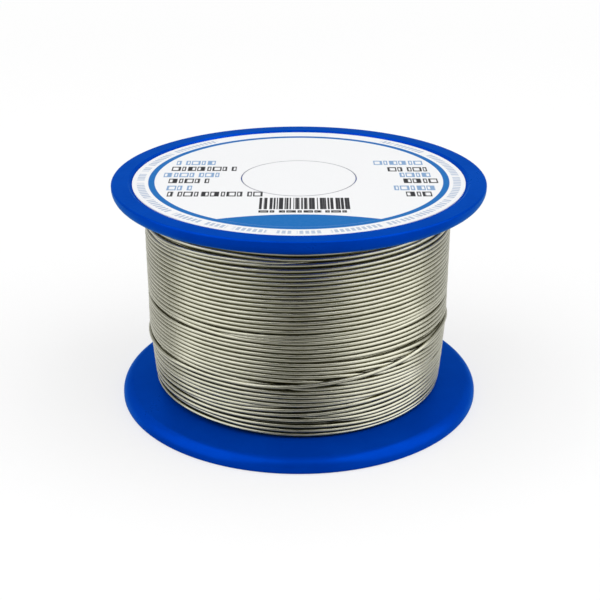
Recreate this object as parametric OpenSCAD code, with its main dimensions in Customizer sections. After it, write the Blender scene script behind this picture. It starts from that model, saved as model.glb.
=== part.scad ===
// Reel of flux-cored solder wire: two snap-fit flanges on a ribbed barrel, the wound wire and a
// round paper label with a push-out centre.
// The Z axis is the reel's axis, and the origin is the centre of the face it stands on.
// All sizes are in millimetres.

/* [Reel] */
// Outside diameter of both flanges
flange_d = 60; // [56:1:76]
// Height over both flanges
reel_h = 37.4; // [30:0.1:50]
// Diameter of the spindle bore
bore_d = 16; // [12:0.2:20]

/* [Flanges] */
// Thickness at the rim
rim_t = 2.4; // [2.2:0.1:2.8]
// Radius of the wide rounding on the rim's inner edge
rim_round_r = 1.8; // [0.8:0.1:1.8]
// Radius of the small rounding on the rim's outer edge
edge_round_r = 0.3; // [0.1:0.05:0.4]
// Thickness next to the barrel
root_t = 3.3; // [2.9:0.1:4]
// Depth of the label recess in the outer face
recess_depth = 0.4; // [0.2:0.05:0.6]
// Width of the slope round the label recess
recess_slope_w = 0.5; // [0.2:0.1:0.8]
// Chamfer at the mouth of the bore
bore_chamfer = 0.3; // [0.1:0.1:0.6]
// Depth of the seats that the ends of the barrel stand in
seat_depth = 1; // [0.6:0.1:1.2]
// Height of the spigot above the flange's inner face
spigot_h = 5; // [4:0.5:8]
// Wall thickness of the spigot
spigot_wall = 1.3; // [1:0.1:2]
// Play on each side of a rib in its slit in the spigot
slit_play = 0.3; // [0.1:0.1:0.6]

/* [Snap fit] */
// How far the bead stands out of the spigot
bead_h = 0.35; // [0.2:0.05:0.45]
// Width of the bead at its foot
bead_w = 1.1; // [1:0.1:1.6]
// Distance from the spigot's tip to the bead
bead_setback = 0.8; // [0.6:0.1:1.4]
// Play between a flange and the barrel
fit_play = 0.1; // [0.05:0.05:0.2]

/* [Barrel] */
// Outside diameter of the barrel
barrel_d = 42; // [34:1:44]
// Wall thickness of the barrel
barrel_wall = 1.6; // [1.2:0.1:2.4]
// Wall thickness of the hub round the bore
hub_wall = 1.4; // [1:0.1:2.2]
// Number of ribs between the hub and the barrel
rib_count = 6; // [4:1:8]
// Thickness of a rib
rib_t = 1.2; // [0.8:0.1:2]
// Distance from the spigot's tip to the centre of the wire's anchor hole
anchor_gap = 1.7; // [1.2:0.1:4]
// Play round the wire in its anchor hole
anchor_play = 0.2; // [0.1:0.05:0.4]

/* [Wire] */
// Diameter of the solder wire
wire_d = 0.7; // [0.5:0.02:1]
// Diameter of the flux core inside the wire
flux_d = 0.32; // [0.2:0.02:0.4]
// Diameter over the winding
winding_d = 49.6; // [46:0.2:53]
// Most turns that the outer layer is drawn with
most_turns = 24; // [10:1:24]
// Length of the free end of the wire
free_end_len = 9; // [4:0.5:12]
// Length of the starting tail inside the barrel, above its bend
tail_len = 6; // [2:0.5:10]
// Bend radius of the wire where it leaves a layer or turns a corner
wire_bend_r = 1; // [0.8:0.1:1.5]

/* [Label] */
// Diameter of the label
label_d = 53.3; // [48:0.1:53.5]
// Thickness of the label
label_t = 0.15; // [0.1:0.05:0.2]
// Width of the cut round the push-out centre
die_cut_w = 0.15; // [0.1:0.05:0.3]
// Overlap of the push-out centre on the face round the bore
ledge_w = 1.15; // [0.6:0.05:2]

/* [Hidden] */

$fn = 96;
overcut = 1;                            // how far a cutting shape runs past what it cuts
contact_gap = 0.05;                     // room between the winding and the plastic
flux_play = 0.01;                       // room between the flux core and its bore
label_play = 0.2;                       // room between the label and its recess
least_turn_gap = 0.45;                  // closest that two drawn turns may lie

flange_r = flange_d / 2;
bore_r = bore_d / 2;
taper_r = flange_r - rim_round_r;         // where the tapered inner face meets the rim's rounding
recess_r = label_d / 2 + label_play;
seat_z = root_t - seat_depth;           // floor of a seat, above the standing face
tip_z = root_t + spigot_h;              // tip of the spigot

barrel_r = barrel_d / 2;
barrel_ri = barrel_r - barrel_wall;
hub_r = bore_r + hub_wall;
spigot_r = barrel_ri - fit_play;
spigot_ri = spigot_r - spigot_wall;
slit_w = rib_t + 2 * slit_play;
bead_top_z = tip_z - bead_setback;
bead_foot_z = bead_top_z - bead_w;

wire_r = wire_d / 2;
anchor_z = tip_z + anchor_gap;
anchor_angle = 180 / rib_count;         // half way between two ribs
tail_x = barrel_ri - wire_r - contact_gap;

rings_per_turn = 24;
tube_sides = 6;
bend_steps = 4;
ring_step = 360 / rings_per_turn;
turn_r = winding_d / 2 - wire_r;                    // centre line of the outer layer
climb_y = turn_r - wire_bend_r - wire_d;            // floor of the pocket the outer layer climbs from
chord_dip = turn_r * (1 - cos(ring_step / 2));      // how far a chord cuts inside its circle
core_r = turn_r - chord_dip - wire_r;
core_ri = barrel_r + contact_gap;
first_turn_z = face_t(climb_y) + contact_gap + wire_r;
last_turn_z = reel_h - first_turn_z;
turns = min(most_turns, floor((last_turn_z - first_turn_z) / (wire_d + least_turn_gap)));
pitch = (last_turn_z - first_turn_z) / turns;
start_angle = 90;                                   // both ends of the outer layer are at the back

label_z = reel_h - recess_depth;
disc_r = bore_r + ledge_w;
label_ri = disc_r + die_cut_w;

// Thickness of a flange at a radius on its tapered inner face
function face_t(r) =
    rim_t + (root_t - rim_t) * (taper_r - r) / (taper_r - barrel_r - fit_play);

// A flange seen in half section, lying on its outer face
module flange_section() {
    translate([flange_r - edge_round_r, edge_round_r]) circle(r = edge_round_r);
    intersection() {
        translate([taper_r, rim_t - rim_round_r]) circle(r = rim_round_r);
        translate([recess_r, edge_round_r]) square([flange_r, rim_t]);
    }
    polygon([
        [bore_r, recess_depth + bore_chamfer],
        [bore_r + bore_chamfer, recess_depth],
        [recess_r, recess_depth],
        [recess_r + recess_slope_w, 0],
        [flange_r - edge_round_r, 0],
        [flange_r - edge_round_r, edge_round_r],
        [flange_r, edge_round_r],
        [flange_r, rim_t - rim_round_r],
        [taper_r, rim_t - rim_round_r],
        [taper_r, rim_t],
        [barrel_r + fit_play, root_t],
        [barrel_r + fit_play, seat_z],
        [spigot_r, seat_z],
        [spigot_r, root_t],
        [hub_r + fit_play, root_t],
        [hub_r + fit_play, seat_z],
        [bore_r, seat_z]
    ]);
}

// Spigot and snap bead in half section; the tip is chamfered to lead it into the barrel
module spigot_section() {
    polygon([
        [spigot_ri, root_t],
        [spigot_r, root_t],
        [spigot_r, bead_foot_z],
        [spigot_r + bead_h, bead_foot_z + bead_h],
        [spigot_r + bead_h, bead_top_z - bead_h],
        [spigot_r, bead_top_z],
        [spigot_r, tip_z - spigot_wall / 3],
        [spigot_r - spigot_wall / 3, tip_z],
        [spigot_ri, tip_z]
    ]);
}

// One flange moulding, outer face down; both flanges come from the same mould
module flange() {
    rotate_extrude() flange_section();
    difference() {
        rotate_extrude() spigot_section();
        for (i = [0 : rib_count - 1])
            rotate(i * 360 / rib_count)
                translate([spigot_ri - overcut, -slit_w / 2, root_t])
                    cube([spigot_wall + bead_h + 2 * overcut, slit_w, spigot_h + overcut]);
    }
}

module lower_flange() {
    color("royalblue") flange();
}

module upper_flange() {
    color("royalblue") translate([0, 0, reel_h]) mirror([0, 0, 1]) flange();
}

// Groove that the snap bead springs into, at the lower end of the barrel
module bead_groove() {
    rotate_extrude() polygon([
        [spigot_r, bead_foot_z - fit_play],
        [barrel_ri, bead_foot_z - fit_play],
        [barrel_ri + bead_h, bead_foot_z + bead_h - fit_play],
        [barrel_ri + bead_h, bead_top_z - bead_h + fit_play],
        [barrel_ri, bead_top_z + fit_play],
        [spigot_r, bead_top_z + fit_play]
    ]);
}

// Tube round the reel's axis
module tube(r_out, r_in, z0, z1) {
    translate([0, 0, z0]) difference() {
        cylinder(r = r_out, h = z1 - z0);
        translate([0, 0, -overcut]) cylinder(r = r_in, h = z1 - z0 + 2 * overcut);
    }
}

// Ribs between the hub and the barrel wall, set a little into both
module ribs() {
    for (i = [0 : rib_count - 1])
        rotate(i * 360 / rib_count)
            translate([hub_r - hub_wall / 2, -rib_t / 2, root_t])
                cube([barrel_ri - hub_r + (hub_wall + barrel_wall) / 2, rib_t, reel_h - 2 * root_t]);
}

module barrel() {
    color("mediumblue") difference() {
        union() {
            tube(barrel_r, barrel_ri, seat_z, reel_h - seat_z);
            tube(hub_r, bore_r, seat_z, reel_h - seat_z);
            ribs();
        }
        bead_groove();
        translate([0, 0, reel_h]) mirror([0, 0, 1]) bead_groove();
        rotate(anchor_angle) translate([tail_x, 0, anchor_z]) rotate([0, 90, 0])
            cylinder(r = wire_r + anchor_play, h = barrel_r - tail_x + overcut);
    }
}

// Layers under the outer one, as a plain ring that follows the flanges' taper. The pocket is
// where the wire climbs out of them into the outer layer.
module inner_wire_layers() {
    foot_in = face_t(core_ri) + contact_gap;
    foot_out = face_t(core_r) + contact_gap;
    pocket_l = wire_bend_r + wire_d;
    pocket_w = wire_d + 4 * contact_gap;
    color("silver") difference() {
        rotate_extrude() polygon([
            [core_ri, foot_in],
            [core_r, foot_out],
            [core_r, reel_h - foot_out],
            [core_ri, reel_h - foot_in]
        ]);
        rotate(start_angle - 90)
            translate([-2 * contact_gap, climb_y, first_turn_z - pocket_w / 2])
                cube([pocket_l, core_r - climb_y + overcut, pocket_w]);
    }
}

// Point on the centre line of the outer layer, after a number of rings
function turn_point(i) = [
    turn_r * cos(start_angle + i * ring_step),
    turn_r * sin(start_angle + i * ring_step),
    first_turn_z + pitch * i / rings_per_turn
];

// The wire's way up from the pocket's floor: straight for one diameter, then round a bend
climb_path = [
    [wire_bend_r, climb_y, first_turn_z],
    for (i = [0 : bend_steps - 1])
        let (a = 90 * i / bend_steps)
            [wire_bend_r * cos(a), turn_r - wire_bend_r * (1 - sin(a)), first_turn_z]
];

// The outer layer from its climb to the straight end that meets the free end
wound_path = [
    each climb_path,
    for (i = [0 : turns * rings_per_turn]) turn_point(i),
    turn_point(turns * rings_per_turn) - [wire_d, 0, 0]
];

function unit(v) = v / norm(v);

// Direction of a path at a point, half way between the stretches that meet there
function heading(path, i) = unit(
    (i > 0 ? unit(path[i] - path[i - 1]) : [0, 0, 0])
    + (i < len(path) - 1 ? unit(path[i + 1] - path[i]) : [0, 0, 0])
);

// One ring of points round a path that runs nearly level
function tube_ring(path, i, r, sides) = let (
        ahead = heading(path, i),
        side = unit(cross([0, 0, 1], ahead)),
        up = cross(ahead, side)
    ) [for (k = [0 : sides - 1])
        let (a = 360 * (k + 0.5) / sides)
            path[i] + r * (cos(a) * side + sin(a) * up)];

// Round tube along a path, as one closed skin of triangles
module swept_tube(path, r, sides) {
    count = len(path);
    points = [for (i = [0 : count - 1]) each tube_ring(path, i, r, sides)];
    last = (count - 1) * sides;
    walls = [
        for (i = [0 : count - 2], k = [0 : sides - 1])
            let (
                a = i * sides + k,
                b = i * sides + (k + 1) % sides
            ) each [[a, a + sides, b], [b, a + sides, b + sides]]
    ];
    caps = [
        for (k = [1 : sides - 2]) each [[0, k, k + 1], [last, last + k + 1, last + k]]
    ];
    polyhedron(points = points, faces = concat(walls, caps));
}

// Distance from a point to the stretch between two others
function stretch_distance(p, a, b) = let (
        along = b - a,
        share = max(0, min(1, (p - a) * along / (along * along)))
    ) norm(p - a - share * along);

// Least gap between the tube and itself, from each point to the stretches up to 2 turns ahead
function least_gap(path) = min([
    for (i = [0 : len(path) - rings_per_turn / 2])
        for (j = [i + rings_per_turn / 2 : min(i + 2 * rings_per_turn, len(path) - 2)])
            stretch_distance(path[i], path[j], path[j + 1])
]) - wire_d;

module outer_wire_turns() {
    echo(turns = turns, pitch = pitch, least_gap_between_turns = least_gap(wound_path));
    color("gainsboro") swept_tube(wound_path, wire_r, tube_sides);
}

// Start of the wire: from the innermost layer through the anchor hole, then bent upwards
module wire_start_tail() {
    bend_x = tail_x - wire_bend_r;
    color("silver") rotate(anchor_angle) translate([0, 0, anchor_z]) {
        translate([tail_x, 0, 0]) rotate([0, 90, 0]) cylinder(r = wire_r, h = barrel_r - tail_x);
        translate([tail_x, 0, wire_bend_r]) rotate([90, 0, 0]) rotate([0, 0, 180])
            rotate_extrude(angle = 90) translate([wire_bend_r, 0]) circle(r = wire_r);
        translate([bend_x, 0, wire_bend_r]) cylinder(r = wire_r, h = tail_len);
    }
}

// Places a child, built along +Z, on the straight free end of the wire
module on_free_end() {
    translate([-wire_d, turn_r, last_turn_z]) rotate([0, -90, 0]) children();
}

// Free end of the wire, which runs off the last turn in a straight line
module wire_free_end() {
    color("gainsboro") on_free_end() difference() {
        cylinder(r = wire_r, h = free_end_len);
        translate([0, 0, wire_d]) cylinder(r = flux_d / 2 + flux_play, h = free_end_len);
    }
}

module flux_core() {
    color("peru") on_free_end()
        translate([0, 0, wire_d]) cylinder(r = flux_d / 2, h = free_end_len - wire_d);
}

module label() {
    color("white") tube(label_d / 2, label_ri, label_z, label_z + label_t);
}

module label_centre_disc() {
    color("whitesmoke") translate([0, 0, label_z]) cylinder(r = disc_r, h = label_t);
}

lower_flange();
upper_flange();
barrel();
inner_wire_layers();
outer_wire_turns();
wire_start_tail();
wire_free_end();
flux_core();
label();
label_centre_disc();
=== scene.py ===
"""Small reel of solder wire on a white floor: its finishes, the wound wire and the label's print.

All sizes are in millimetres, and MM turns them into Blender's metres. Azimuths are in degrees:
0 is the front of the reel (-Y), 90 its right side (+X) and 180 its back, where the wire ends.
"""

import math

import bpy
import numpy as np
from mathutils import Matrix, Vector


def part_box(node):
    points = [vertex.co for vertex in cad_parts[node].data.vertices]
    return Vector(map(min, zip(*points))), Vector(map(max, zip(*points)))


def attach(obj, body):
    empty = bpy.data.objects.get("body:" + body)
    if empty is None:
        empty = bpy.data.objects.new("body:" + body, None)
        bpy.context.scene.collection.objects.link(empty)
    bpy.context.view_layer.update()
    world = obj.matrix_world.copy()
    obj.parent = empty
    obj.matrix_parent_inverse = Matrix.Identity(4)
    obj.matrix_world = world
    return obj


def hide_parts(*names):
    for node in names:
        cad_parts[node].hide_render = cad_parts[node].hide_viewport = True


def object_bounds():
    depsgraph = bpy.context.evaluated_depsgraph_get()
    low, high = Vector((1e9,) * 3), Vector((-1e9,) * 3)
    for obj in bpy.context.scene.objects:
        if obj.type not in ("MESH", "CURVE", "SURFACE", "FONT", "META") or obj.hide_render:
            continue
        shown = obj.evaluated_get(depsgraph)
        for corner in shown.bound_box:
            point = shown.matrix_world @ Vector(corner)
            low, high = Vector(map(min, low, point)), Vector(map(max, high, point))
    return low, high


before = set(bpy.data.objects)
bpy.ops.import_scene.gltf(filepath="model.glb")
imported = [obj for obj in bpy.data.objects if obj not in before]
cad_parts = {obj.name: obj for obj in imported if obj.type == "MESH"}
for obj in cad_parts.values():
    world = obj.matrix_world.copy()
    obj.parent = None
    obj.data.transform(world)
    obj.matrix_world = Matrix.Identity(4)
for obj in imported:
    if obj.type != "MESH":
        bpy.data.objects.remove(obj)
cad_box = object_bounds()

MM = 0.001
REEL_BODY = "reel"
TOP_Z = cad_box[1].z / MM                        # upper face of the reel
FLANGE_R = (cad_box[1].x - cad_box[0].x) / 2 / MM

# ---------------------------------------------------------------- camera and stage sizes

# The eye looks from the front, measured from the centre of the reel's upper face
EYE_DISTANCE = 6.5718 * FLANGE_R
EYE_ELEVATION = 17.713
AIM_PITCH = 23.517
AIM_YAW = 0.055
AIM_ROLL = -0.013
SENSOR_W = 36
LENS = 73.15
CLIP_START = 10

WHITE = (1, 1, 1, 1)
FLOOR_SIZE = 1600
FLOOR_ROUGHNESS = 0.9
FLOOR_GREY = 0.42                                # share of the floor's white that the lamps give
FLOOR_FADE = (120, 500)                          # distances over which that share goes to nothing

# What gloss shows of the room and of the floor's white, in front of the reel and behind it.
# How far behind the reel a direction points is a number from about -1 to 1.
BEHIND_TURN = 0.30                               # the share that +X has in it
ROOM_SPAN = (-0.8, 0.5)                          # where the change starts and ends
ROOM_SHOWN = (0.06, 0.36)
FLOOR_SPAN = (-0.95, -0.58)
FLOOR_SHOWN = (0.10, 0.66)
SKY_LIGHT = 0.34                                 # strength of the room's light on dull surfaces

# Lamps as (name, azimuth, elevation, distance, width, height, brightness)
LAMPS = (
    ("left_softbox", -66, 35, 900, 1120, 1400, 1.28),
    ("right_softbox", 70, 35, 900, 1160, 1400, 1.32),
    ("top_softbox", 180, 70, 800, 900, 500, 0.95),
)

# ---------------------------------------------------------------- winding sizes

WIRE_D = 0.7
WIRE_R = WIRE_D / 2
TURNS = 46                                       # turns in the outer layer, the lowest is turn 0
RINGS_PER_TURN = 120
WIRE_SIDES = 12
FREE_LOW, FREE_HIGH = (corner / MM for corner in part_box("wire_free_end"))
LAST_Z = (FREE_LOW.z + FREE_HIGH.z) / 2          # height at which the outer layer ends
FIRST_Z = TOP_Z - LAST_Z                         # and starts, as far from the other flange
RUN_OUT_RINGS = RINGS_PER_TURN // 6              # rings over which it runs out to its free end

# Outside of the winding: the lowest turns lie on a smaller diameter
WOUND_HEIGHTS = (2, 3.5, 5, 8, 11, 14)
WOUND_RADII = (23.7, 23.9, 24.1, 24.4, 24.6, 24.8)
WOUND_SHIFT_X = -0.2                             # the winding sits a little off the reel's axis
FOOT_SHIFT_Y = -0.5                              # and its lowest turns a little towards the front
FOOT_HEIGHTS = (3, 9)                            # heights between which that shift fades

# Height of a turn's centre line at these azimuths. Turns that aren't listed are spaced evenly
# between those that are, and at the back the wire is an even helix. The heights weren't chosen by
# eye. They were worked out from the dark lines between the turns that a measuring script found in
# the photo, and rounded. Some were guessed where it found no line, or moved after a render.
ROW_STEP = 30
ROW_AZIMUTHS = (-60, -30, 0, 30, 60)
ROWS = {
    0: (4.1, 3.9, 3.4, 3.4, 3.5),
    1: (4.8, 4.6, 4.2, 4.0, 4.2),
    2: (5.3, 5.3, 5.0, 4.6, 5.0),
    4: (6.1, 6.1, 6.0, 5.8, 6.35),
    6: (6.8, 6.8, 6.9, 7.4, 7.8),
    7: (7.1, 7.4, 7.8, 8.2, 8.6),
    9: (8.8, 8.8, 8.6, 8.8, 9.0),
    10: (9.3, 9.5, 9.4, 9.1, 9.2),
    12: (10.8, 11.0, 10.8, 10.5, 10.2),
    13: (11.9, 11.7, 12.2, 13.35, 14.8),
    14: (12.75, 12.5, 12.2, 11.9, 11.4),
    19: (16.0, 15.9, 15.65, 15.35, 15.0),
    20: (16.6, 16.6, 16.4, 16.4, 16.2),
    23: (18.55, 18.7, 18.5, 18.6, 18.5),
    24: (19.7, 19.4, 19.2, 19.3, 19.6),
    26: (20.1, 20.1, 20.3, 20.6, 20.6),
    27: (20.8, 20.95, 21.1, 21.3, 21.25),
    40: (29.75, 29.95, 30.2, 30.4, 30.4),
    41: (30.4, 30.65, 30.9, 31.15, 31.4),
    42: (30.9, 31.4, 31.75, 31.95, 32.35),
    43: (31.35, 31.95, 32.15, 32.4, 32.7),
    44: (32.4, 32.85, 32.6, 32.7, 33.0),
    45: (33.2, 33.5, 33.4, 33.5, 33.55),
}
EASE_DEGREES = 30                                # length over which the wire evens out a change

# The turn that strays up across its neighbours. Those it passes dive under it.
STRAYED = 13
DIVE_FROM = -0.2                                 # height over the strayed turn where a dive starts
DIVE_LENGTH = 1.0                                # rise that it takes
DIVE_DEPTH = 0.2

# Stretches that lie deeper than their neighbours: (first turn, last turn, depth)
SUNK = (
    (1.15, 1.45, 0.25), (2.95, 3.58, 0.75), (4.90, 5.54, 0.75), (6.12, 6.42, 0.25),
    (8.44, 8.95, 0.60), (9.55, 9.95, 0.55), (12.64, 12.90, 0.30), (24.90, 25.45, 0.60),
    (42.10, 42.36, 0.30), (43.47, 44.05, 0.60),
)
# Stretches that stand proud of them
PROUD = ((13.02, 13.40, 0.40), (13.42, 13.70, 0.20), (13.42, 13.95, 0.22))
SINK_RAMP = 0.06                                 # turns over which a stretch sinks or rises
LOOSENESS = 0.03                                 # how far a turn wanders by chance
WANDERS_PER_TURN = 5
SEED = 11                                        # of that chance

UNDER_LAYER_DROP = 0.66                          # from the outer layer to the one under it
UNDER_RINGS_PER_TURN = 96
UNDER_SIDES = 8
CORE_PLAY = 0.05                                 # between the barrel and the core of the winding
CORE_SEGMENTS = 96

# ---------------------------------------------------------------- label print sizes

RING_R = (23.1, 24.1)
BAND_R = (24.7, 25.9)                            # ring of fine print round the edge
BAND_OPEN_HALF = 35                              # half angle at the back that it leaves bare
BAND_BEAT = 1.9                                  # degrees from one mark to the next
BAND_MARK = (0.10, 0.75)                         # part of them that a mark fills
WORD_RATE = 0.16                                 # noise per degree
WORD_NOISE = (3.0, 7.0)                          # where in the noise the words are read
WORD_LEVEL = (0.40, 0.46)                        # noise above this is a word and not a gap
SEGMENT_TOP_Y = -17.7                            # crown of the solid segment at the front
SEGMENT_CROWN_R = 37
LINE_H = 2.3
LETTER_PITCH = 1.35
LETTER_SHARE = 0.78                              # of a letter's pitch that its block fills
LETTER_WOBBLE = 0.26                             # unevenness of the blocks' widths
LETTER_WOBBLE_RATE = 2.9
LETTER_LINE_SHIFT = 5.0                          # which differs from line to line
STROKE = 0.22                                    # upright stroke, as a share of the pitch
FLAT_STROKE = 0.45                               # height of its upper and lower strokes
# Lines of print as (x from, x to, y of the middle)
CAPTIONS = (
    (-20.4, -13.6, 8.0), (-21.8, -11.9, 1.4), (-20.5, -16.0, -5.3),
    (12.6, 20.6, 8.0), (16.1, 22.0, 1.4), (14.7, 21.2, -5.3),
)
VALUES = (
    (-20.7, -9.3, 4.7), (-20.7, -13.9, -1.7), (-20.4, -6.0, -8.3),
    (14.8, 21.2, 4.4), (16.9, 22.5, -1.7), (16.7, 20.4, -8.3),
)
TALLY_X = (-6.0, 7.8)                            # block of uneven bars
TALLY_Y = (-15.4, -10.1)
TALLY_RATE = 2.5                                 # noise per millimetre
TALLY_NOISE = (0.0, 5.0)                         # where in the noise the bars are read
TALLY_LEVEL = (0.46, 0.49)                       # noise above this is a bar
TALLY_FOOT = (-5.8, 7.6, -16.4)                  # line of small print under it
TALLY_FOOT_H = 1.0
DISC_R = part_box("label_centre_disc")[1].x / MM   # the push-out centre, with the cut round it
CUT_GAP = 0.15
CUT_LINE_W = 0.06                                # greyed edge on each side of the cut

# ---------------------------------------------------------------- finishes

# Each pair holds a finish's own colour and that of its patches
FLANGE_BLUES = ((0.0, 0.058, 0.545), (0.0, 0.051, 0.500))
BARREL_BLUES = ((0.0, 0.050, 0.460), (0.0, 0.044, 0.410))
SOLDER_GREYS = ((0.66, 0.65, 0.53), (0.57, 0.565, 0.45))
ROSIN_AMBERS = ((0.50, 0.22, 0.04), (0.66, 0.36, 0.10))
PAPER_WHITES = ((0.900, 0.905, 0.915), (0.8865, 0.8914, 0.9013))
PRINT_BLUE = (0.010, 0.158, 0.490)
PRINT_PALE_BLUE = (0.130, 0.300, 0.560)
PRINT_BLACK = (0.020, 0.020, 0.024)
PRINT_GREY_BLUE = (0.330, 0.430, 0.600)
PRINT_GREY = (0.300, 0.300, 0.310)

# Roughness where a finish is smoothest and dullest, and the depth of its bumps
SOLDER_ROUGHNESS = (0.24, 0.34)
PLASTIC_ROUGHNESS = (0.27, 0.37)
PAPER_ROUGHNESS = (0.42, 0.52)
ROSIN_ROUGHNESS = (0.18, 0.32)
INK_SMOOTHING = 0.08                             # what the solid ink takes off the paper's
SOLDER_BUMP = 0.02
PLASTIC_BUMP = 0.012
PAPER_BUMP = 0.006
ROSIN_BUMP = 0.02

# Noise per millimetre
STREAK_RATES = (0.25, 7.0, 7.0)                  # along the wire's turns, up and outwards
PATCH_RATES = (0.12, 0.5, 1.0)
MOTTLE_RATE = 0.12                               # in the plastic
GRAIN_RATE = 2.2
FIBRE_RATE = 1.6                                 # in the paper
CLOUD_RATE = 3.0                                 # in the rosin

STREAK_SHARE = 0.3                               # of the wire's tint; the patches have the rest
MOTTLE_SHARE = 0.6                               # of the plastic's dullness; the grain has the rest
NOISE_ROUGHNESS = 0.55
NOISE_SPAN = (0.3, 0.7)                          # between which most of a noise lies
STREAK_SPAN = (0.25, 0.75)
PATCH_SPAN = (0.35, 0.65)

GROOVE_OXIDE_AND_SHADE = (0.120, 0.112, 0.025)              # dull oxide and painted shade between the turns
GROOVE_TILT = 0.40                               # the undersides get the painted shade further out
GROOVE_STEEPNESS = (0.45, 0.84)                  # steepness over which the oxide and painted shade set in
FOOT_STEEPNESS = (0.15, 0.62)                    # and in the lowest turns, which get more of that painted shade
FOOT_SHADE_HEIGHTS = (4, 9)                       # heights between which that ends


# ---------------------------------------------------------------- small helpers

def smooth(share):
    """0 below 0, 1 above 1 and an eased step between them."""
    share = np.clip(share, 0, 1)
    return share * share * (3 - 2 * share)


def window(value, low, high, ramp):
    """1 between low and high, easing to 0 at both."""
    return smooth((value - low) / ramp) * smooth((high - value) / ramp)


def turn_azimuth(turn):
    """Azimuth of a place along the wire, which is counted in turns from the back."""
    return 360 * (turn % 1) - 180


def cylindrical(radius, azimuth, height):
    """Points, in millimetres, from their radius, azimuth and height."""
    angle = np.radians(azimuth)
    return np.stack([radius * np.sin(angle), -radius * np.cos(angle), height], axis=-1)


def mesh_object(name, points, faces, material):
    """A smooth mesh object made of points in millimetres."""
    mesh = bpy.data.meshes.new(name)
    mesh.from_pydata((np.asarray(points) * MM).tolist(), [], faces)
    mesh.polygons.foreach_set("use_smooth", [True] * len(mesh.polygons))
    mesh.materials.append(material)
    mesh.update()
    piece = bpy.data.objects.new(name, mesh)
    bpy.context.scene.collection.objects.link(piece)
    return piece


def swept_tube(name, path, radius, sides, material):
    """A round tube along a path that runs round the reel, closed at both ends."""
    ahead = np.gradient(path, axis=0)
    ahead /= np.linalg.norm(ahead, axis=1, keepdims=True)
    outward = path * (1, 1, 0)
    outward -= ahead * np.sum(outward * ahead, axis=1, keepdims=True)
    outward /= np.linalg.norm(outward, axis=1, keepdims=True)
    across = np.cross(ahead, outward)
    angle = (2 * np.pi * np.arange(sides) / sides)[None, :, None]
    spokes = np.cos(angle) * outward[:, None] + np.sin(angle) * across[:, None]
    rings = path[:, None] + radius * spokes
    last = (len(path) - 1) * sides
    faces = [
        (ring + i, ring + j, ring + sides + j, ring + sides + i)
        for ring in range(0, last, sides)
        for i, j in zip(range(sides), [*range(1, sides), 0])
    ]
    faces.append(tuple(reversed(range(sides))))
    faces.append(tuple(range(last, last + sides)))
    return mesh_object(name, rings.reshape(-1, 3), faces, material)


def turned_ring(name, outline, segments, material):
    """A closed outline of (radius, height) points turned round the reel's axis."""
    azimuths = 360 * np.arange(segments) / segments
    rings = [cylindrical(radius, azimuths, np.full(segments, height)) for radius, height in outline]
    faces = [
        (a * segments + i, a * segments + j, b * segments + j, b * segments + i)
        for a, b in zip(range(len(outline)), [*range(1, len(outline)), 0])
        for i, j in zip(range(segments), [*range(1, segments), 0])
    ]
    return mesh_object(name, np.concatenate(rings), faces, material)


# ---------------------------------------------------------------- node helpers

class Field:
    """A number that varies over a surface: a node's output that arithmetic works on."""

    def __init__(self, tree, socket):
        self.tree = tree
        self.socket = socket

    def math(self, operation, *others):
        """The result of one Math node."""
        node = self.tree.nodes.new("ShaderNodeMath")
        node.operation = operation
        for slot, value in zip(node.inputs, (self, *others)):
            feed(self.tree, slot, value)
        return Field(self.tree, node.outputs[0])

    def __add__(self, other):
        return self.math("ADD", other)

    def __sub__(self, other):
        return self.math("SUBTRACT", other)

    def __mul__(self, other):
        return self.math("MULTIPLY", other)

    def __truediv__(self, other):
        return self.math("DIVIDE", other)

    def ramp(self, low, high, out_low=0.0, out_high=1.0):
        """Eases from out_low to out_high as the number goes from low to high."""
        node = self.tree.nodes.new("ShaderNodeMapRange")
        node.interpolation_type = "SMOOTHSTEP"
        for slot, value in zip(node.inputs, (self, low, high, out_low, out_high)):
            feed(self.tree, slot, value)
        return Field(self.tree, node.outputs[0])

    def below(self, limit, edge):
        """1 below a limit, with a soft edge that wide."""
        return self.ramp(limit - edge / 2, limit + edge / 2, 1.0, 0.0)

    def between(self, low, high, edge):
        """1 between low and high, with soft edges that wide."""
        return self.ramp(low - edge / 2, low + edge / 2) * self.below(high, edge)


def feed(tree, slot, value):
    """Links a field to a socket, or sets the socket's own value."""
    if isinstance(value, Field):
        tree.links.new(value.socket, slot)
    else:
        slot.default_value = value


def new_material(name, **settings):
    """A material with one Principled shader, and its uniform settings set on the shader."""
    material = bpy.data.materials.new(name)
    material.use_nodes = True
    shader = material.node_tree.nodes["Principled BSDF"]
    for socket, value in settings.items():
        shader.inputs[socket.replace("_", " ")].default_value = value
    return material, material.node_tree, shader


def object_position(tree):
    """The surface point in the reel's frame, in millimetres, as x, y and z fields."""
    coordinates = tree.nodes.new("ShaderNodeTexCoord")
    split = tree.nodes.new("ShaderNodeSeparateXYZ")
    tree.links.new(coordinates.outputs["Object"], split.inputs[0])
    return [Field(tree, socket) * (1 / MM) for socket in split.outputs]


def distance(x, y):
    """Distance from the origin, in the plane of x and y."""
    return (x * x + y * y).math("SQRT")


def steepness(tree, tilt):
    """How far the surface faces up or down, with 0 for upright; a positive tilt favours down."""
    coordinates = tree.nodes.new("ShaderNodeTexCoord")
    split = tree.nodes.new("ShaderNodeSeparateXYZ")
    tree.links.new(coordinates.outputs["Normal"], split.inputs[0])
    return (Field(tree, split.outputs[2]) - tilt).math("ABSOLUTE")


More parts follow.
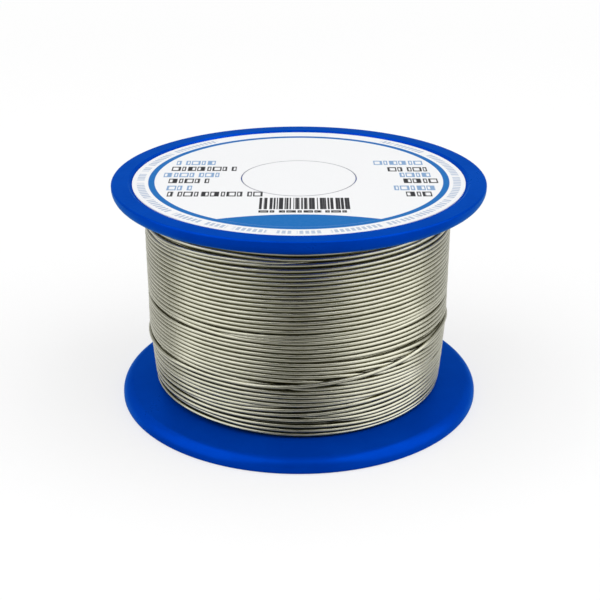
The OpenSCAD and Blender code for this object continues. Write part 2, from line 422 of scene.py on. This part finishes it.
def noise(tree, place, detail, scale=1.0):
    """Noise from 0 to 1 at a place, which is three fields or numbers."""
    join = tree.nodes.new("ShaderNodeCombineXYZ")
    for slot, value in zip(join.inputs, place):
        feed(tree, slot, value)
    node = tree.nodes.new("ShaderNodeTexNoise")
    tree.links.new(join.outputs[0], node.inputs["Vector"])
    node.inputs["Scale"].default_value = scale
    node.inputs["Detail"].default_value = detail
    node.inputs["Roughness"].default_value = NOISE_ROUGHNESS
    return Field(tree, node.outputs[0])


def colour_mix(tree, share, first, second):
    """Fades from the first colour to the second; either may be a field."""
    node = tree.nodes.new("ShaderNodeMix")
    node.data_type = "RGBA"
    feed(tree, node.inputs["Factor"], share)
    for socket, colour in ((node.inputs[6], first), (node.inputs[7], second)):
        if isinstance(colour, Field):
            tree.links.new(colour.socket, socket)
        else:
            socket.default_value = (*colour, 1)
    return Field(tree, node.outputs[2])


def roughen(tree, shader, height, depth):
    """Bumps the surface by a height field times a depth in millimetres."""
    bump = tree.nodes.new("ShaderNodeBump")
    bump.inputs["Strength"].default_value = 1.0
    bump.inputs["Distance"].default_value = depth * MM
    tree.links.new(height.socket, bump.inputs["Height"])
    tree.links.new(bump.outputs[0], shader.inputs["Normal"])


def round_axis(tree):
    """Place as (length along the wire's turns, height, radius), with its seam at the back."""
    x, y, z = object_position(tree)
    radius = distance(x, y)
    along = x.math("ARCTAN2", y * -1.0) * radius
    return along, z, radius


# ---------------------------------------------------------------- materials

def solder_material():
    """Drawn tin-lead wire: satin grey metal with fine lines along it and dull patches, darkened by
    oxide and painted shade where it faces up or down into the grooves between turns.
    """
    material, tree, shader = new_material("solder_wire", Metallic=1.0)
    place = round_axis(tree)
    streaks = noise(tree, [part * rate for part, rate in zip(place, STREAK_RATES)], detail=4.0)
    patches = noise(tree, [part * rate for part, rate in zip(place, PATCH_RATES)], detail=2.0)
    tint = patches.ramp(*PATCH_SPAN) * (1 - STREAK_SHARE) + streaks * STREAK_SHARE
    metal = colour_mix(tree, tint, *SOLDER_GREYS)
    # Painted shade: where the wire faces up or down into a groove, its colour goes to the dark groove
    # colour, further out on the undersides and in the lowest turns
    height = place[1]
    onset = [height.ramp(*FOOT_SHADE_HEIGHTS, *span) for span in zip(FOOT_STEEPNESS, GROOVE_STEEPNESS)]
    groove_shade = steepness(tree, GROOVE_TILT).ramp(*onset)
    feed(tree, shader.inputs["Base Color"], colour_mix(tree, groove_shade, metal, GROOVE_OXIDE_AND_SHADE))
    feed(tree, shader.inputs["Roughness"], streaks.ramp(*STREAK_SPAN, *SOLDER_ROUGHNESS))
    roughen(tree, shader, streaks, SOLDER_BUMP)
    return material


def plastic_material(name, blues):
    """Satin moulded polystyrene with a faint flow mottle, a fine grain and a blue gloss."""
    material, tree, shader = new_material(
        name,
        Metallic=0.35,
        Specular_IOR_Level=0.005,
        Specular_Tint=(0.0, 0.9, 1.0, 1.0),
        Sheen_Weight=0.05,
        Sheen_Roughness=0.5,
        Sheen_Tint=(0.0, 0.6, 0.7, 1.0),
    )
    place = object_position(tree)
    mottle = noise(tree, place, detail=3.0, scale=MOTTLE_RATE)
    grain = noise(tree, place, detail=2.0, scale=GRAIN_RATE)
    uneven = mottle * MOTTLE_SHARE + grain * (1 - MOTTLE_SHARE)
    feed(tree, shader.inputs["Base Color"], colour_mix(tree, mottle.ramp(*NOISE_SPAN), *blues))
    feed(tree, shader.inputs["Roughness"], uneven.ramp(*NOISE_SPAN, *PLASTIC_ROUGHNESS))
    roughen(tree, shader, grain, PLASTIC_BUMP)
    return material


def print_line(x, y, line, height):
    """Mark of one line of print: a row of hollow blocks of uneven widths."""
    start, end, middle = line
    count = round((end - start) / LETTER_PITCH)
    wobble = (x * LETTER_WOBBLE_RATE + middle * LETTER_LINE_SHIFT).math("SINE") * LETTER_WOBBLE
    cell = (x - start + wobble) / LETTER_PITCH
    across = cell.math("FRACT")
    level = (y - middle).math("ABSOLUTE")
    block = across.between(0.0, LETTER_SHARE, edge=0.08) * level.below(height / 2, edge=0.2)
    hollow = across.between(STROKE, LETTER_SHARE - STROKE, edge=0.08)
    hollow = hollow * level.below(height / 2 - FLAT_STROKE, edge=0.2)
    return block * (hollow * -1.0 + 1.0) * cell.between(0, count, edge=0.04)


def any_of(marks):
    """The greatest of several marks at each point."""
    total = marks[0]
    for mark in marks[1:]:
        total = total.math("MAXIMUM", mark)
    return total


def label_material():
    """Coated white paper with the printed ring, segment, lines and bars, in the label's plane."""
    material, tree, shader = new_material("label_print", Specular_IOR_Level=0.05)
    x, y, z = object_position(tree)
    radius = distance(x, y)
    azimuth = x.math("ARCTAN2", y * -1.0) * (180 / math.pi)
    fibre = noise(tree, (x, y, z), detail=4.0, scale=FIBRE_RATE)

    crown = distance(x, y - (SEGMENT_TOP_Y - SEGMENT_CROWN_R))
    segment = crown.below(SEGMENT_CROWN_R, edge=0.12) * radius.below(RING_R[0], edge=0.06)
    solid = any_of([segment, radius.between(*RING_R, edge=0.08)])

    beat = (azimuth / BAND_BEAT).math("FRACT").between(*BAND_MARK, edge=0.2)
    words = noise(tree, (azimuth * WORD_RATE, *WORD_NOISE), detail=1.0).ramp(*WORD_LEVEL)
    reach = azimuth.math("ABSOLUTE").below(180 - BAND_OPEN_HALF, edge=2)
    fine_print = radius.between(*BAND_R, edge=0.15) * beat * words * reach

    captions = any_of([print_line(x, y, line, LINE_H) for line in CAPTIONS])
    values = [print_line(x, y, line, LINE_H) for line in VALUES]
    bars = noise(tree, (x * TALLY_RATE, *TALLY_NOISE), detail=1.0).ramp(*TALLY_LEVEL)
    tally = bars * x.between(*TALLY_X, edge=0.1) * y.between(*TALLY_Y, edge=0.1)
    black = any_of([*values, tally, print_line(x, y, TALLY_FOOT, TALLY_FOOT_H)])
    cut = radius.between(DISC_R - CUT_LINE_W, DISC_R + CUT_GAP + CUT_LINE_W, edge=0.04)

    colour = colour_mix(tree, fibre, *PAPER_WHITES)
    for mark, ink, cover in (
        (fine_print, PRINT_GREY_BLUE, 0.7),
        (captions, PRINT_PALE_BLUE, 0.85),
        (black, PRINT_BLACK, 0.98),
        (cut, PRINT_GREY, 0.5),
        (solid, PRINT_BLUE, 1.0),
    ):
        colour = colour_mix(tree, mark * cover, colour, ink)
    dullness = fibre.ramp(*NOISE_SPAN, *PAPER_ROUGHNESS) - solid * INK_SMOOTHING
    feed(tree, shader.inputs["Base Color"], colour)
    feed(tree, shader.inputs["Roughness"], dullness)
    roughen(tree, shader, fibre, PAPER_BUMP)
    return material


def flux_material():
    """Hard amber rosin, a little cloudy."""
    material, tree, shader = new_material("flux_rosin", Specular_IOR_Level=0.5)
    cloud = noise(tree, object_position(tree), detail=3.0, scale=CLOUD_RATE)
    feed(tree, shader.inputs["Base Color"], colour_mix(tree, cloud, *ROSIN_AMBERS))
    feed(tree, shader.inputs["Roughness"], cloud.ramp(*NOISE_SPAN, *ROSIN_ROUGHNESS))
    roughen(tree, shader, cloud, ROSIN_BUMP)
    return material


def finish_cad_nodes(finishes):
    """Gives each CAD node its material."""
    for material, nodes in finishes:
        for name in nodes:
            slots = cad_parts[name].data.materials
            slots.clear()
            slots.append(material)


# ---------------------------------------------------------------- winding

def even_height(turn):
    """Height of an even helix from the lowest turn to the wire's free end."""
    return FIRST_Z + (LAST_Z - FIRST_Z) * turn / TURNS


def lane_heights(turn):
    """Height of the wire's centre line at places along it, which are counted in turns.

    It is the even helix plus what the listed rows lie off it. That fades out towards the back,
    and a moving average over EASE_DEGREES takes the corners out.
    """
    number = np.floor(turn)
    azimuth = turn_azimuth(turn)
    near = np.clip(azimuth, ROW_AZIMUTHS[0], ROW_AZIMUTHS[-1])
    off = np.zeros_like(turn)
    for column, place in enumerate(ROW_AZIMUTHS):
        listed = np.interp(number, list(ROWS), [row[column] for row in ROWS.values()])
        share = np.clip(1 - np.abs(near - place) / ROW_STEP, 0, 1)
        off += share * (listed - even_height(number + (place + 180) / 360))
    off *= 1 - smooth((np.abs(azimuth) - ROW_AZIMUTHS[-1]) / (180 - ROW_AZIMUTHS[-1]))
    # The average's first and last weights are zero
    ease = np.hanning(RINGS_PER_TURN * EASE_DEGREES // 360 + 2)
    padded = np.pad(off, len(ease) // 2, mode="edge")
    return even_height(turn) + np.convolve(padded, ease / ease.sum(), mode="valid")[:len(turn)]


def wound_radius(height):
    """Outer radius of the winding at a height."""
    return np.interp(height, WOUND_HEIGHTS, WOUND_RADII)


def wound_path(radius, turn, height):
    """Points of a layer, which leans forward at its foot and sits a little off the axis."""
    path = cylindrical(radius, turn_azimuth(turn), height)
    low, high = FOOT_HEIGHTS
    path[:, 0] += WOUND_SHIFT_X
    path[:, 1] += FOOT_SHIFT_Y * (1 - smooth((height - low) / (high - low)))
    return path


def outer_path():
    """Centre line of the outer layer, from its lowest turn to the wire's free end."""
    rings = np.arange(TURNS * RINGS_PER_TURN + 1)
    turn = rings / RINGS_PER_TURN
    height = lane_heights(turn)

    # A later turn that the strayed one has risen past lies a wire lower. It is deepest halfway.
    strayed = height[STRAYED * RINGS_PER_TURN + rings % RINGS_PER_TURN]
    above = np.where(turn < STRAYED + 1, 1, smooth((height - strayed - DIVE_FROM) / DIVE_LENGTH))
    height = height - WIRE_D * (1 - above)
    radius = wound_radius(height) - WIRE_R - DIVE_DEPTH * (4 * above * (1 - above)) ** 2

    for stretches, sign in ((SUNK, -1), (PROUD, 1)):
        for first, last, depth in stretches:
            radius = radius + sign * depth * window(turn, first, last, SINK_RAMP)
    knots = np.arange(TURNS * WANDERS_PER_TURN + 1) / WANDERS_PER_TURN
    wander = LOOSENESS * np.random.default_rng(SEED).uniform(-1, 1, (2, len(knots)))
    radius = radius + np.interp(turn, knots, wander[0])
    height = height + np.interp(turn, knots, wander[1])
    return wound_path(radius, turn, height)


def make_winding(wire):
    """The outer layer's turns, which stand for the CAD winding's turns."""
    path = outer_path()
    end = np.array([FREE_HIGH.x, (FREE_LOW.y + FREE_HIGH.y) / 2, LAST_Z])
    share = smooth(np.arange(1, RUN_OUT_RINGS + 1) / RUN_OUT_RINGS)[:, None]
    path[-RUN_OUT_RINGS:] += share * (end - path[-1])
    piece = swept_tube("wound_wire", path, WIRE_R, WIRE_SIDES, wire)
    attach(piece, REEL_BODY)
    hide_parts("outer_wire_turns")


def make_under_layers(wire):
    """The layer that shows between the outer turns, and the core of those below it."""
    turn = np.arange(TURNS * UNDER_RINGS_PER_TURN + 1) / UNDER_RINGS_PER_TURN
    height = LAST_Z + (FIRST_Z - LAST_Z) * turn / TURNS
    radius = wound_radius(height) - WIRE_R - UNDER_LAYER_DROP
    path = wound_path(radius, turn, height)
    turns = swept_tube("under_layer_wire", path, WIRE_R, UNDER_SIDES, wire)

    low, high = (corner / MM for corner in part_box("inner_wire_layers"))
    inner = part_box("barrel")[1].x / MM + CORE_PLAY
    outer = WOUND_RADII[0] - WIRE_D - UNDER_LAYER_DROP
    outline = ((inner, low.z), (inner, high.z), (outer, high.z), (outer, low.z))
    core = turned_ring("under_layer_core", outline, CORE_SEGMENTS, wire)
    core.parent = turns
    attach(turns, REEL_BODY)
    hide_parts("inner_wire_layers")


# ---------------------------------------------------------------- camera, floor and lights

def make_camera():
    """The camera, which looks down at the reel from the front."""
    elevation = math.radians(EYE_ELEVATION)
    eye = Vector((0, -EYE_DISTANCE * math.cos(elevation), TOP_Z + EYE_DISTANCE * math.sin(elevation)))
    turn = (
        Matrix.Rotation(math.radians(-AIM_YAW), 4, "Z")
        @ Matrix.Rotation(math.radians(90 - AIM_PITCH), 4, "X")
        @ Matrix.Rotation(math.radians(AIM_ROLL), 4, "Z")
    )
    data = bpy.data.cameras.new("camera")
    data.sensor_width = SENSOR_W
    data.lens = LENS
    data.clip_start = CLIP_START * MM
    camera = bpy.data.objects.new("camera", data)
    camera.matrix_world = Matrix.Translation(eye * MM) @ turn
    bpy.context.scene.collection.objects.link(camera)
    bpy.context.scene.camera = camera


def seen_by(tree, *kinds):
    """1 for rays of these kinds, which are Camera, Glossy or Transmission."""
    path = tree.nodes.new("ShaderNodeLightPath")
    return any_of([Field(tree, path.outputs[f"Is {kind} Ray"]) for kind in kinds])


def make_floor():
    """A white floor: near the reel the lamps give part of its white, so that it keeps the shadow."""
    material, tree, shader = new_material(
        "floor",
        Roughness=FLOOR_ROUGHNESS,
        Specular_IOR_Level=0.0,
        Emission_Color=WHITE,
    )
    x, y, _ = object_position(tree)
    away = distance(x, y)
    lit = away.ramp(*FLOOR_FADE, FLOOR_GREY, 0.0)
    behind = (y + x * BEHIND_TURN) / away
    mirrored = seen_by(tree, "Glossy", "Transmission") * behind.ramp(*FLOOR_SPAN, *FLOOR_SHOWN)
    shown = any_of([seen_by(tree, "Camera"), mirrored])
    feed(tree, shader.inputs["Base Color"], lit)
    feed(tree, shader.inputs["Emission Strength"], shown * (lit * -1.0 + 1.0))
    half = FLOOR_SIZE / 2
    corners = [(-half, -half, 0), (half, -half, 0), (half, half, 0), (-half, half, 0)]
    mesh_object("floor", corners, [(0, 1, 2, 3)], material)


def make_room():
    """White for the camera, a room that darkens towards the front in gloss, and soft light."""
    world = bpy.data.worlds.new("room")
    world.use_nodes = True
    bpy.context.scene.world = world
    tree = world.node_tree
    background = tree.nodes["Background"]
    background.inputs["Color"].default_value = WHITE
    coordinates = tree.nodes.new("ShaderNodeTexCoord")
    split = tree.nodes.new("ShaderNodeSeparateXYZ")
    tree.links.new(coordinates.outputs["Generated"], split.inputs[0])
    behind = Field(tree, split.outputs[1]) + Field(tree, split.outputs[0]) * BEHIND_TURN
    mirrored = seen_by(tree, "Glossy", "Transmission") * behind.ramp(*ROOM_SPAN, *ROOM_SHOWN)
    dull = seen_by(tree, "Camera", "Glossy", "Transmission") * -1.0 + 1.0
    shown = any_of([seen_by(tree, "Camera"), mirrored, dull * SKY_LIGHT])
    feed(tree, background.inputs["Strength"], shown)


def area_lamp(name, azimuth, elevation, away, width, height, brightness):
    """A soft lamp aimed at the reel. Its power is its brightness times its area and pi."""
    data = bpy.data.lights.new(name, "AREA")
    data.shape = "RECTANGLE"
    data.size = width * MM
    data.size_y = height * MM
    data.energy = brightness * math.pi * data.size * data.size_y
    lamp = bpy.data.objects.new(name, data)
    turn = math.radians(azimuth)
    rise = math.radians(elevation)
    level = math.cos(rise)
    place = Vector((math.sin(turn) * level, -math.cos(turn) * level, math.sin(rise))) * away
    aim = Vector((0, 0, TOP_Z / 2))
    lamp.location = (place + aim) * MM
    lamp.rotation_euler = place.to_track_quat("Z", "Y").to_euler()
    bpy.context.scene.collection.objects.link(lamp)


# ---------------------------------------------------------------- the scene

make_camera()
make_floor()
make_room()
for lamp_sizes in LAMPS:
    area_lamp(*lamp_sizes)

flange_plastic = plastic_material("flange_blue", FLANGE_BLUES)
barrel_plastic = plastic_material("barrel_blue", BARREL_BLUES)
solder = solder_material()
label_print = label_material()
finish_cad_nodes([
    (flange_plastic, ["lower_flange", "upper_flange"]),
    (barrel_plastic, ["barrel"]),
    (solder, ["wire_start_tail", "wire_free_end"]),
    (flux_material(), ["flux_core"]),
    (label_print, ["label", "label_centre_disc"]),
])
make_winding(solder)
make_under_layers(solder)

bpy.context.scene.view_settings.view_transform = "Standard"
